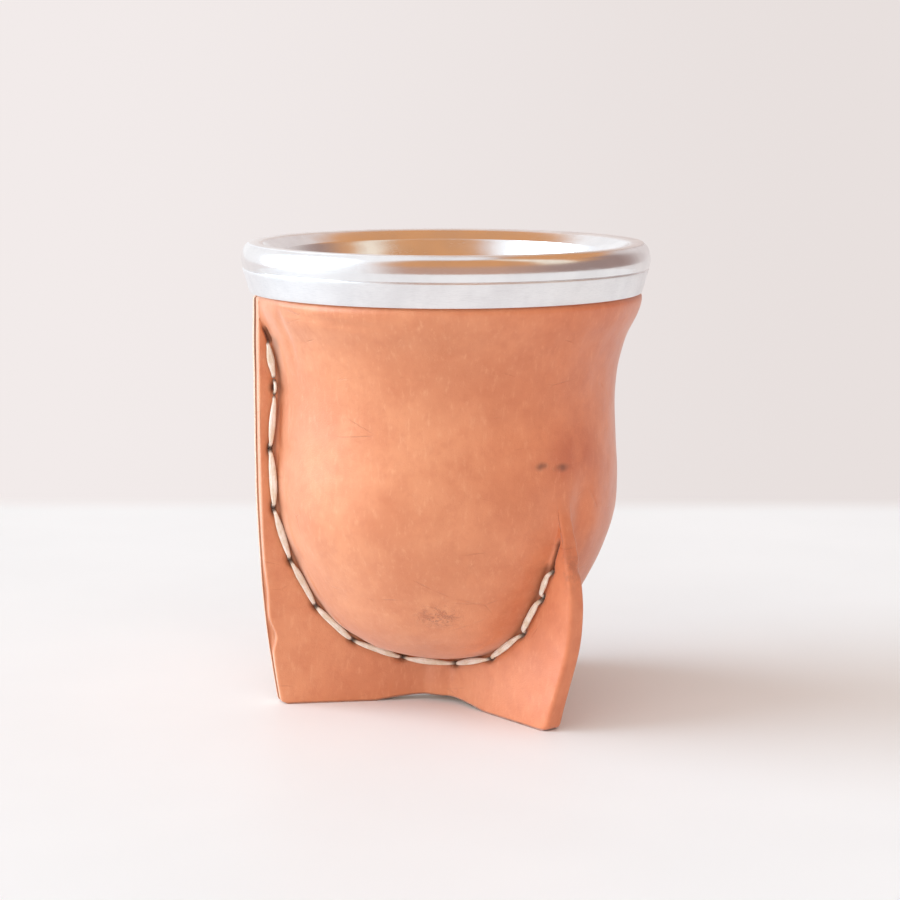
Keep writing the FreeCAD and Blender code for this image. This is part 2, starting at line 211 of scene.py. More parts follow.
def surface_radius(angle, z):
    """Radius of the cover's outside, gourd and fins, in each direction."""
    softness = FOOT_CREASE + (CREASE - FOOT_CREASE) * smooth_step(z, *FOOT_CREASE_Z)
    softness = softness * (1 - 0.7 * smooth_step(z, RIM_BASE_Z - 15, RIM_BASE_Z - 3))
    # beside the seam the shoulder stands out less, so the fin shows all the way up to the rim
    depth, *place = SHOULDER_SLIM
    slim = depth * bump(np.degrees(angle) % 360, *place) * smooth_step(z, *SHOULDER_SLIM_Z)
    radius = np.maximum(cover_radius(z) - slim, CENTRE_RADIUS)
    for fin in FINS:
        turn = (angle - fin_angle(fin, z) + math.pi) % (2 * math.pi) - math.pi
        radius = soft_max(radius, fin_radius(fin, z, turn), softness)
    return radius


def lace_path():
    """The lacing's line beside the gourd's outline, as (reach, height) with its running length."""
    step = np.diff(OUTLINE, axis=0)
    size = np.maximum(np.linalg.norm(step, axis=1), 1e-9)
    middle = (OUTLINE[1:] + OUTLINE[:-1]) / 2
    run = np.cumsum(size)
    offset = LACE_OFFSET + sum(out * bump(run, *place) for out, *place in LACE_WANDER)
    path = middle + (offset / size)[:, None] * np.stack([step[:, 1], -step[:, 0]], 1)
    return path, lengths_along(path)


LACE_PATH, LACE_LENGTH = lace_path()


def lace_point(distance):
    return np.array([np.interp(distance, LACE_LENGTH, LACE_PATH[:, k]) for k in (0, 1)])


# ---- meshes ------------------------------------------------------------------
def make_piece(name, points, faces, node, attributes=None):
    """A smooth-shaded mesh in the row frame, from points in millimetres, that stands for a CAD node."""
    mesh = bpy.data.meshes.new(name)
    mesh.from_pydata((points * MM).tolist(), [], faces)
    mesh.validate()
    mesh.shade_smooth()
    for key, values in (attributes or {}).items():
        layer = mesh.attributes.new(key, "FLOAT", "POINT")
        layer.data.foreach_set("value", values.astype(np.float32).ravel())
    mesh.update()
    piece = bpy.data.objects.new(name, mesh)
    bpy.context.scene.collection.objects.link(piece)
    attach(piece, "root")
    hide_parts(node)
    return piece


def grid_faces(rows, columns, closed, offset=0):
    """Quads between neighbouring rows of points; closed joins the last column to the first."""
    i, j = np.meshgrid(np.arange(rows - 1), np.arange(columns if closed else columns - 1), indexing="ij")
    k = (j + 1) % columns
    quads = np.stack([i * columns + j, i * columns + k, (i + 1) * columns + k, (i + 1) * columns + j], -1)
    return (quads.reshape(-1, 4) + offset).tolist()


def grid_normals(grid):
    """Unit normals of a grid of points whose columns close into rings."""
    across = np.roll(grid, -1, axis=1) - np.roll(grid, 1, axis=1)
    up = np.gradient(grid, axis=0)
    normal = np.cross(across, up)
    return normal / np.maximum(np.linalg.norm(normal, axis=2, keepdims=True), 1e-9)


def soft_noise(points, scale, seed):
    """Smooth noise from -1 to 1 at each point, with features about scale millimetres across."""
    shift = Vector((seed * 17.3, seed * 5.1, seed * 9.7))
    values = [noise.noise(Vector(p) / scale + shift) for p in points.reshape(-1, 3)]
    return np.array(values).reshape(points.shape[:-1])


# ---- the leather cover -------------------------------------------------------
FACE_STEPS = np.array([0.0, 0.14, 0.3, 0.55, 0.9, 1.25, 1.6, 1.85])      # across half of a fin's end face
FLANK_COLUMNS = 38
FLANK_SPREAD = 1.5           # columns on a flank crowd towards the crease
PANEL_COLUMNS = 84
PANEL_SPREAD = 0.07          # columns between two fins crowd towards both
FOOT_ROWS = 16
ROW_STEP = 0.70
SOFTEN_PASSES, SOFTEN_FLAT, SOFTEN_FADE = 14, 2, 5.0     # smoothing of a crease: rounds, and columns it spans
MARK_HALF_DEPTH = 7.0        # marks for one fin's lacing stay this near to its middle plane
GROOVE_DEPTH, GROOVE_WIDTH = 0.28, 0.85
# the painted shade round each hole reaches a little beyond the pit itself
PIT_DEPTH, PIT_SIZE, PIT_SHADE = 0.75, (0.66, 1.05), (0.85, 1.3)     # half sizes across and along the lacing
SLIT_DEPTH, SLIT_WIDTH = 0.8, 0.34
# Hollows beside each folded fin: degrees from it, depth, and the middle and half width of its height.
FOLD_HOLLOWS = ((FRONT, 8.5, 1.0, 43.5, 6.0), (FRONT, -8.0, 0.5, 42.0, 5.0),
                (BACK, 8.5, 0.7, 43.0, 6.0), (BACK, -8.5, 0.7, 43.0, 6.0))
HOLLOW_WIDTH = 5.0           # degrees
TUCK_RISE, LINING_SCALE, LINING_DEPTH = 2.2, 0.95, 9.0               # the top edge, hidden by the rim


def row_heights():
    foot = np.linspace(0, COVER_BOTTOM_Z, FOOT_ROWS, endpoint=False)
    run = lengths_along(OUTLINE)
    count = int(run[-1] / ROW_STEP)
    upper = np.interp(np.linspace(0, run[-1], count), run, OUTLINE[:, 1])
    upper = upper[upper > COVER_BOTTOM_Z + 0.02]
    return np.concatenate([foot, [COVER_BOTTOM_Z], upper])


def panel_grid(fin, following, z):
    """Points on the cover between two fins' middle planes, with a fixed column at each crease."""
    start = fin_angle(fin, z)
    span = (fin_angle(following, z) - start) % (2 * math.pi)
    body = np.maximum(cover_radius(z), CENTRE_RADIUS)
    half = FIN_THICKNESS / 2

    def fin_side(which):
        """Turn angles along the end face and flank, out to the crease, one row for each height."""
        reach = np.maximum(fin_reach(which, z), body + 0.6)
        face = np.arctan2(FACE_STEPS[None], reach[:, None])
        corner = reach - 0.15
        depth = 1 - (1 - np.linspace(0, 1, FLANK_COLUMNS)[None]) ** FLANK_SPREAD
        along = corner[:, None] + (body - corner)[:, None] * depth
        flank = np.arctan2(half, along)
        return np.concatenate([face, flank], 1), np.arctan2(half, body)

    left, left_crease = fin_side(fin)
    right, right_crease = fin_side(following)
    t = np.linspace(0, 1, PANEL_COLUMNS + 2)[1:-1]
    t = t - PANEL_SPREAD * np.sin(2 * math.pi * t)
    low, high = left_crease, span - right_crease
    middle = low[:, None] + (high - low)[:, None] * t[None]
    turns = np.concatenate([left, middle, (span[:, None] - right)[:, ::-1]], 1)[:, :-1]
    angle = start[:, None] + turns
    height = np.repeat(z[:, None], turns.shape[1], 1)
    radius = surface_radius(angle, height)
    return np.stack([radius * np.cos(angle), radius * np.sin(angle), height], -1)


def soften_creases(grid, crease_columns):
    """Rounds the crease between each fin and the gourd by averaging neighbours along each row."""
    columns = grid.shape[1]
    weight = np.zeros(columns)
    for c in crease_columns:
        away = np.abs((np.arange(columns) - c + columns // 2) % columns - columns // 2)
        weight = np.maximum(weight, np.clip(1 - (away - SOFTEN_FLAT) / SOFTEN_FADE, 0, 1))
    for _ in range(SOFTEN_PASSES):
        average = (np.roll(grid, 1, 1) + np.roll(grid, -1, 1)) / 2
        grid = grid + 0.5 * weight[None, :, None] * (average - grid)
    return grid


def fin_coordinates(points, fin):
    """Distance along a fin's direction and signed distance across it."""
    angle = fin_angle(fin, points[..., 2])
    along = points[..., 0] * np.cos(angle) + points[..., 1] * np.sin(angle)
    across = -points[..., 0] * np.sin(angle) + points[..., 1] * np.cos(angle)
    return along, across


def lace_coordinates(along, height):
    """Running length on the lacing's line, and signed distance out from it, for points in a fin's plane."""
    path = LACE_PATH[::4]
    length = LACE_LENGTH[::4]
    out = np.gradient(path, axis=0)
    out = np.stack([out[:, 1], -out[:, 0]], 1)
    out /= np.maximum(np.linalg.norm(out, axis=1, keepdims=True), 1e-9)
    flat = np.stack([along.ravel(), height.ravel()], 1)
    nearest = np.empty(len(flat), int)
    for k in range(0, len(flat), 8000):
        gap = flat[k:k + 8000, None] - path[None]
        nearest[k:k + 8000] = np.argmin((gap ** 2).sum(2), 1)
    offset = ((flat - path[nearest]) * out[nearest]).sum(1)
    return length[nearest].reshape(along.shape), offset.reshape(along.shape)


def cover_shape():
    """The cover's outside, without its marks, as a grid of points."""
    z = row_heights()
    panels = [panel_grid(SEAM, FRONT, z), panel_grid(FRONT, BACK, z), panel_grid(BACK, SEAM, z)]
    width = panels[0].shape[1]
    grid = np.concatenate(panels, 1)
    side = len(FACE_STEPS) + FLANK_COLUMNS
    creases = [k * width + c for k in range(3) for c in (side, side + PANEL_COLUMNS)]
    grid = soften_creases(grid, creases)

    # the middle of the underside is lifted off the table
    radius = np.hypot(grid[..., 0], grid[..., 1])
    lift = FOOT_ARCH_HEIGHT * np.clip(1 - (radius / FOOT_ARCH_RADIUS) ** 2, 0, 1)
    grid[..., 2] += lift * np.clip(1 - grid[..., 2] / 9.0, 0, 1)

    # the top edge turns in under the rim
    tuck = smooth_step(grid[..., 2], RIM_BASE_Z - 0.7, RIM_BASE_Z + 0.1)
    inner = BAND_FOOT_RADIUS - BAND_WALL - 0.25
    scale = 1 + tuck * (inner / np.maximum(radius, 1) - 1) * (radius > inner)
    grid[..., :2] *= scale[..., None]
    return grid


def fin_marks_place(grid, fin, side=0):
    """Length and offset on the lacing's line for points near a fin or one face, and which those are."""
    height = grid[..., 2]
    along, across = fin_coordinates(grid, fin)
    near = (along > 2) & (across * side >= 0) & (np.abs(across) < MARK_HALF_DEPTH)
    length, offset = lace_coordinates(np.where(near, along, 0), np.where(near, height, -50))
    return length, offset, near


def mark_cover(grid):
    """Stitch grooves, holes, puckers, dents and wrinkles, as a displaced grid and its colour masks."""
    normal = grid_normals(grid)
    height = grid[..., 2]
    azimuth = np.degrees(np.arctan2(grid[..., 1], grid[..., 0])) % 360
    push = np.zeros(height.shape)
    dark = np.zeros(height.shape)
    raw = np.zeros(height.shape)

    for fin in FINS:
        length, offset, near = fin_marks_place(grid, fin)
        holes = np.array(HOLES[fin])
        pits = holes[:-1] if fin == SEAM else holes
        laced = smooth_step(length, holes[0] - 2, holes[0]) * near
        laced = laced * (1 - smooth_step(length, holes[-1], holes[-1] + 1.5))
        push -= GROOVE_DEPTH * bump(offset, 0.0, GROOVE_WIDTH) * laced
        gap = np.min(np.abs(length[..., None] - pits), -1)
        push -= PIT_DEPTH * bump(offset, 0, PIT_SIZE[0]) * bump(gap, 0, PIT_SIZE[1]) * near
        # painted shade in and round each hole, and in a thin line along the crease beside the lacing
        dark = np.maximum(dark, bump(offset, 0, PIT_SHADE[0]) * bump(gap, 0, PIT_SHADE[1]) * near)
        dark = np.maximum(dark, 0.55 * bump(offset, -0.95, 0.35) * laced)
        # the leather swells a little between holes on the gourd's side of the lacing
        swell = bump(offset, -2.4, 1.3) * laced
        push += 0.22 * swell * np.clip(gap / 5.0, 0, 1) - 0.12 * swell * bump(gap, 0, 1.6)

    # the open ends of the two lacing lines: a slit in the leather beyond the last hole
    for fin, start, end, side, middle in OPEN_ENDS:
        length, offset, near = fin_marks_place(grid, fin, side)
        slit = bump(offset, middle, SLIT_WIDTH) * smooth_step(length, start - 1, start) * near
        slit = slit * (1 - smooth_step(length, end, end + 1.2))
        push -= SLIT_DEPTH * slit
        # painted shade inside the slit
        dark = np.maximum(dark, 0.9 * slit)

    # seam fin: the joint between its two layers, and their pale cut edges, which the colour brightens further
    # with a painted highlight
    along, across = fin_coordinates(grid, SEAM)
    edge = smooth_step(along, fin_reach(SEAM, height) - 1.0, fin_reach(SEAM, height) - 0.1)
    joint = bump(across, 0.0, 0.11) * edge
    push -= 0.5 * joint
    dark = np.maximum(dark, joint * (0.3 + 0.5 * smooth_step(height, 66, 74)))
    raw = np.maximum(raw, edge * (1 - joint))

    # folded fins: the scuffed fold, and small wrinkles where it runs out into the gourd
    fold = np.zeros(height.shape)
    for fin in (FRONT, BACK):
        along, across = fin_coordinates(grid, fin)
        reach = fin_reach(fin, height)
        face = smooth_step(along, reach - 2.2, reach - 0.4) * (np.abs(across) < 3.5) * (along > 10)
        fold = np.maximum(fold, face * (1 - smooth_step(height, 42, 47)))
        ripple = np.sin(height * 2.1 + across * 0.9 + 2.0 * fin) * bump(height, 38.5, 4.5)
        push += 0.10 * ripple * face
        push -= 0.35 * face * bump(height, 32.5, 1.2) * smooth_step(across, 0.2, 1.8)

    # the hollows beside the folds, where they run out into the gourd
    for fin, degrees, depth, middle, half in FOLD_HOLLOWS:
        turn = (azimuth - FIN_TOP_ANGLE[fin] + 180) % 360 - 180
        push -= depth * bump(turn, degrees, HOLLOW_WIDTH) * bump(height, middle, half)

    # a crease pressed in under the rim beside the seam, and a soft dent running down from it
    crease_z = 83.3 - 2.4 * smooth_step(azimuth, 205, 250)
    pressed = smooth_step(azimuth, 197, 203) * (1 - smooth_step(azimuth, 238, 262))
    push -= 0.30 * bump(height, crease_z, 0.5) * pressed
    below_rim = smooth_step(height, 68, 76) * (1 - smooth_step(height, 81, 84))
    push -= 0.45 * bump(azimuth, 213.5, 2.2) * below_rim

    body = smooth_step(height, 3, 12)
    push += 0.30 * soft_noise(grid, 19.0, 1) * body * (1 - smooth_step(height, 76, 84))
    push += 0.07 * soft_noise(grid, 6.0, 2)
    grid = grid + normal * push[..., None]
    grid[..., 2] = np.maximum(grid[..., 2], 0.0)
    return grid, {"dark": dark, "raw": raw, "fold": fold}


def underside(rim_ring):
    """Rings of points from the cover's lower edge to its middle, and the joint between each fin's layers."""
    rings = np.concatenate([np.linspace(0.997, 0.9, 5), np.linspace(0.86, 0.04, 22)])
    points = rim_ring[None] * np.stack([rings, rings, np.ones_like(rings)], 1)[:, None, :]
    radius = np.hypot(points[..., 0], points[..., 1])
    lift = FOOT_ARCH_HEIGHT * np.clip(1 - (radius / FOOT_ARCH_RADIUS) ** 2, 0, 1)
    points[..., 2] = lift
    joint = np.zeros(radius.shape)
    for fin in FINS:
        along, across = fin_coordinates(points, fin)
        end = fin_reach(fin, points[..., 2]) - (0 if fin == SEAM else LEATHER)
        joint = np.maximum(joint, bump(across, 0.0, 0.16) * (along > 4) * (along < end))
    points[..., 2] += 0.7 * joint + 0.12 * (soft_noise(points, 1.1, 5) + 1)
    return points, joint


def leather_skin():
    grid = cover_shape()
    grid, masks = mark_cover(grid)
    rows, columns = grid.shape[:2]
    rings, joint = underside(grid[0])
    lining = grid[-1:] + np.array([0, 0, TUCK_RISE])
    inside = lining * np.array([LINING_SCALE, LINING_SCALE, 1])
    inner_low = inside - np.array([0, 0, LINING_DEPTH])
    layers = [rings[::-1], grid, lining, inside, inner_low]
    points = np.concatenate([layer.reshape(-1, 3) for layer in layers])
    total_rows = len(rings) + rows + 3
    faces = grid_faces(total_rows, columns, True)
    centre = len(points)
    points = np.vstack([points, [[0, 0, FOOT_ARCH_HEIGHT]]])
    faces += [(centre, (j + 1) % columns, j) for j in range(columns)]

    def column(values, under, top):
        below, above = np.full(rings.shape[:2], 0.0) + under, np.full((3, columns), top)
        return np.concatenate([below, values, above]).ravel()

    attributes = {
        "dark": np.append(column(masks["dark"], joint[::-1] * 0.8, 0.0), 0.0),
        "raw": np.append(column(masks["raw"], 1 - joint[::-1], 0.0), 1.0),
        "fold": np.append(column(masks["fold"], 0.0, 0.0), 0.0),
    }
    piece = make_piece("leather_skin", points, faces, "leather_cover", attributes)
    piece.data.materials.append(leather_material())
    return piece


# ---- lacing ------------------------------------------------------------------
STITCH_STEPS = 26
STITCH_SIDES = 14
STITCH_RISE, KNOT_RISE = 0.34, 0.75      # how proud of the leather the lace's middle lies
HOLE_EDGE = 0.25                         # a stitch starts this far from its hole's middle
DIP_LENGTH, DIP_DEPTH = 0.62, 1.25       # over which, and how far, a stitch goes down into its hole
SWAY, TWIST = 0.12, 14                   # random bend sideways in millimetres, and turn in degrees
THREAD_SEED = 7
KNOT_HOLE = 78.9             # the seam's hole where the lace is tied, as a length on the lacing's line
KNOT_HALF = 1.45


def hole_place(fin, side, distance):
    """A point on one face of a fin, on the lacing's line, and that face's normal."""
    along, height = lace_point(distance)
    angle = float(fin_angle(fin, np.array([height]))[0])
    out = side * np.array([-math.sin(angle), math.cos(angle), 0.0])
    forward = np.array([math.cos(angle), math.sin(angle), 0.0])
    return forward * along + out * FIN_THICKNESS / 2 + np.array([0, 0, height]), out


def stitch(start, end, random, width, rise):
    """One stitch of flat thong from hole to hole: it comes up, lies on the leather and goes down again."""
    (p, n), (q, m) = start, end
    t = np.linspace(0, 1, STITCH_STEPS)[:, None]
    size = np.linalg.norm(q - p)
    normal = n * (1 - t) + m * t
    normal /= np.linalg.norm(normal, axis=1, keepdims=True)
    sink = bump(t * size, 0, DIP_LENGTH) + bump((1 - t) * size, 0, DIP_LENGTH)
    crown = rise + 0.12 * np.sin(math.pi * t) - DIP_DEPTH * sink
    path = p + (q - p) * t + normal * crown
    direction = np.gradient(path, axis=0)
    direction /= np.linalg.norm(direction, axis=1, keepdims=True)
    wide = np.cross(direction, normal)
    wide /= np.linalg.norm(wide, axis=1, keepdims=True)
    sway = SWAY * random.uniform(-1, 1) * np.sin(math.pi * t)
    path = path + wide * sway
    twist = math.radians(random.uniform(-TWIST, TWIST)) * np.sin(math.pi * t)
    flat = wide * np.cos(twist) + normal * np.sin(twist)
    thick = np.cross(flat, direction)
    ends = 1 - 0.5 * (bump(t * size, 0, 2.0) + bump((1 - t) * size, 0, 2.0))
    phase = random.uniform(0, 6)
    half_width = width / 2 * ends * (1 + 0.07 * np.sin(9 * t + phase)) * random.uniform(0.92, 1.08)
    half_thick = LACE_THICKNESS / 2 * (0.75 + 0.25 * ends)
    turn = np.linspace(0, 2 * math.pi, STITCH_SIDES, endpoint=False)
    c, s = np.cos(turn), np.sin(turn)
    across, up = np.sign(c) * np.abs(c) ** 0.75, np.sign(s) * np.abs(s) ** 0.75
    rings = (path[:, None] + flat[:, None] * (half_width * across[None])[..., None]
             + thick[:, None] * (half_thick * up[None])[..., None])
    return rings, np.repeat(np.clip(sink, 0, 1), STITCH_SIDES, 1)


def lace(name, node, runs, random):
    """All the stitches of one lace in one mesh. A run is a list of (start, end, width, rise)."""
    points, faces, hole_shade, along = [], [], [], []
    for start, end, width, rise in runs:
        rings, sunk = stitch(start, end, random, width, rise)
        offset = sum(len(p) for p in points)
        points.append(rings.reshape(-1, 3))
        faces += [f[::-1] for f in grid_faces(STITCH_STEPS, STITCH_SIDES, True, offset)]
        last = offset + (STITCH_STEPS - 1) * STITCH_SIDES
        faces += [list(range(offset, offset + STITCH_SIDES)), list(range(last, last + STITCH_SIDES))[::-1]]
        # painted shade where the stitch goes down into its holes
        hole_shade.append(sunk.ravel())
        turn = np.linspace(0, 1, STITCH_SIDES, endpoint=False)
        along.append(np.tile(turn, STITCH_STEPS))
    piece = make_piece(name, np.concatenate(points), faces, node,
                       {"dark": np.concatenate(hole_shade), "around": np.concatenate(along)})
    piece.data.materials.append(lacing_material())
    return piece


def seam_runs(side):
    holes = HOLES[SEAM]
    runs = []
    for a, b in zip(holes, holes[1:]):
        low = a + HOLE_EDGE + (KNOT_HALF if side > 0 and a == KNOT_HOLE else 0)
        high = b - HOLE_EDGE - (KNOT_HALF if side > 0 and b == KNOT_HOLE else 0)
        runs.append((hole_place(SEAM, side, low), hole_place(SEAM, side, high), LACE_WIDTH, STITCH_RISE))
    if side > 0:
        runs.append((hole_place(SEAM, side, KNOT_HOLE - KNOT_HALF),
                     hole_place(SEAM, side, KNOT_HOLE + KNOT_HALF), LACE_WIDTH * 1.05, KNOT_RISE))
    return runs


def fold_runs(fin, side):
    holes = HOLES[fin]
    return [(hole_place(fin, side, a + HOLE_EDGE), hole_place(fin, side, b - HOLE_EDGE),
             LACE_WIDTH, STITCH_RISE) for a, b in zip(holes, holes[1:])]


def laces():
    random = np.random.default_rng(THREAD_SEED)
    # one stitch crosses the cup's middle, from the seam's first hole to the front fin's
    bridge = (hole_place(SEAM, 1, HOLES[SEAM][0] - HOLE_EDGE),
              hole_place(FRONT, -1, HOLES[FRONT][0] - HOLE_EDGE), LACE_WIDTH, STITCH_RISE)
    lace("stitches_seam", "lacing_seam", seam_runs(1) + seam_runs(-1) + [bridge], random)
    lace("stitches_front", "lacing_front", fold_runs(FRONT, 1) + fold_runs(FRONT, -1), random)
    lace("stitches_back", "lacing_back", fold_runs(BACK, 1) + fold_runs(BACK, -1), random)


# ---- turned pieces: the rim and the gourd ------------------------------------
TURNS = 256
RIM_EASE = 0.1               # rounding of the rim's sharp corners
GOURD_FIT = 0.15             # the gourd's gap to the leather and to the rim's head


def turned(profile):
    """Points of a closed ring profile, given as (radius, height), turned about the axis."""
    angle = np.linspace(0, 2 * math.pi, TURNS, endpoint=False)
    r, z = profile[:, :1], np.repeat(profile[:, 1:], TURNS, 1)
    return np.stack([r * np.cos(angle), r * np.sin(angle), z], -1)


def turned_faces(rows):
    faces = grid_faces(rows, TURNS, True)
    last = (rows - 1) * TURNS
    faces += [(last + j, last + (j + 1) % TURNS, (j + 1) % TURNS, j) for j in range(TURNS)]
    return faces


def eased(points, ease):
    """A polyline whose corners are each rounded off by a small distance, for crisp but smooth shading."""
    p = np.array(points, float)
    out = []
    for k in range(len(p)):
        before, here, after = p[k - 1], p[k], p[(k + 1) % len(p)]
        a, b = before - here, after - here
        size_a, size_b = np.linalg.norm(a), np.linalg.norm(b)
        turn = np.dot(a, b) / (size_a * size_b)
        if turn < -0.9:
            out.append(here)
            continue
        near = min(ease, size_a / 3, size_b / 3)
        start, end = here + a / size_a * near, here + b / size_b * near
        out += [start, (start + end + 2 * here) / 4, end]
    return np.array(out)


def rim_metal():
    band_top = RIM_BASE_Z + BAND_HEIGHT
    seat = BAND_FOOT_RADIUS - BAND_WALL
    head = RIM_TOP_Z - HEAD_WALL
    foot = RIM_TOP_Z - FUNNEL_DEPTH
    band_radius = RIM_RADIUS - 0.25
    bead = dense_curve([(band_radius, band_top + 0.35), (RIM_RADIUS, band_top + 1.9),
                        (RIM_RADIUS - 0.45, RIM_TOP_Z - 1.2), (RIM_RADIUS - 1.5, RIM_TOP_Z)], 8)
    slope = RIM_TOP_Z - LIP_DROP
    funnel = dense_curve([(MOUTH_RADIUS - 0.25, slope - 0.75), (MOUTH_RADIUS - 1.9, RIM_TOP_Z - 5.6),
                          (THROAT_RADIUS + 1.6, RIM_TOP_Z - 11.5), (THROAT_RADIUS, foot)], 10)
    behind = dense_curve([(THROAT_RADIUS + FUNNEL_WALL, foot),
                          (THROAT_RADIUS + 1.6 + FUNNEL_WALL, RIM_TOP_Z - 11.5),
                          (MOUTH_RADIUS - 1.0, RIM_TOP_Z - 5.8), (MOUTH_RADIUS - 0.7, head)], 6)
    lip = dense_curve([(RIM_RADIUS - 2.6, RIM_TOP_Z + 0.03), (LIP_RADIUS, RIM_TOP_Z - 0.12),
                       (LIP_RADIUS - 1.6, RIM_TOP_Z - 0.75), (MOUTH_RADIUS + 0.6, slope),
                       (MOUTH_RADIUS, slope - 0.3)], 5)
    band = [(BAND_FOOT_RADIUS + (band_radius - BAND_FOOT_RADIUS) * t, RIM_BASE_Z + BAND_HEIGHT * t)
            for t in np.linspace(0, 1, 7)]
    groove = [(band_radius - 0.25, band_top + 0.17)]
    outline = [(seat, RIM_BASE_Z)] + band + groove
    outline += [tuple(p) for curve in (bead, lip, funnel, behind) for p in curve] + [(seat, head)]
    profile = eased(outline, RIM_EASE)
    points = turned(profile)
    r, z = profile[:, 0], profile[:, 1]
    on_band = (r > seat + 0.3) & (z < band_top + 0.02)
    on_top = (z > RIM_TOP_Z - 0.3) & (r < RIM_RADIUS - 1.3)
    masks = {"band": on_band, "top": on_top, "inside": (r < MOUTH_RADIUS + 0.1)}
    spread = {key: np.repeat(mask[:, None].astype(float), TURNS, 1) for key, mask in masks.items()}
    piece = make_piece("rim_metal", points.reshape(-1, 3), turned_faces(len(profile)), "rim", spread)
    piece.data.materials.append(rim_material())
    return piece


def inset_outline(inset, top_z):
    """The cover's outline moved inwards, as (radius, height) points from the axis up to a height."""
    line = OUTLINE[::12]
    along = np.gradient(line, axis=0)
    along /= np.linalg.norm(along, axis=1, keepdims=True)
    moved = line + inset * np.stack([-along[:, 1], along[:, 0]], 1)
    keep = (moved[:, 1] < top_z) & (moved[:, 0] > 1.0)
    return moved[keep]


def gourd_shell():
    neck = BAND_FOOT_RADIUS - BAND_WALL - LEATHER - 0.24
    top = RIM_TOP_Z - HEAD_WALL - GOURD_FIT

    def wall(inset, radius):
        low = inset_outline(inset, RIM_BASE_Z - 10)
        neck_line = [(radius - 0.35, RIM_BASE_Z - 4.5), (radius, RIM_BASE_Z), (radius, top)]
        return np.vstack([[[0.2, low[0, 1] - 0.05]], low, neck_line])

    outside = wall(LEATHER + GOURD_FIT, neck)
    inside = wall(LEATHER + GOURD_FIT + GOURD_WALL, neck - GOURD_WALL)
    profile = np.vstack([dense_curve(outside, 3), dense_curve(inside[::-1], 3)])
    points = turned(profile)
    rows = len(profile)
    inner = (np.arange(rows) > rows // 2)[:, None]
    radial = points / np.maximum(np.linalg.norm(points[..., :2], axis=2, keepdims=True), 1e-6)
    radial[..., 2] = 0
    rough = 0.35 * soft_noise(points * np.array([1, 1, 0.35]), 5.0, 3) + 0.12 * soft_noise(points, 1.4, 4)
    rough = rough * inner * smooth_step(np.hypot(points[..., 0], points[..., 1]), 1, 6)
    points = points + radial * rough[..., None]
    piece = make_piece("gourd_shell", points.reshape(-1, 3), turned_faces(rows), "gourd")
    piece.data.materials.append(gourd_material())
    return piece


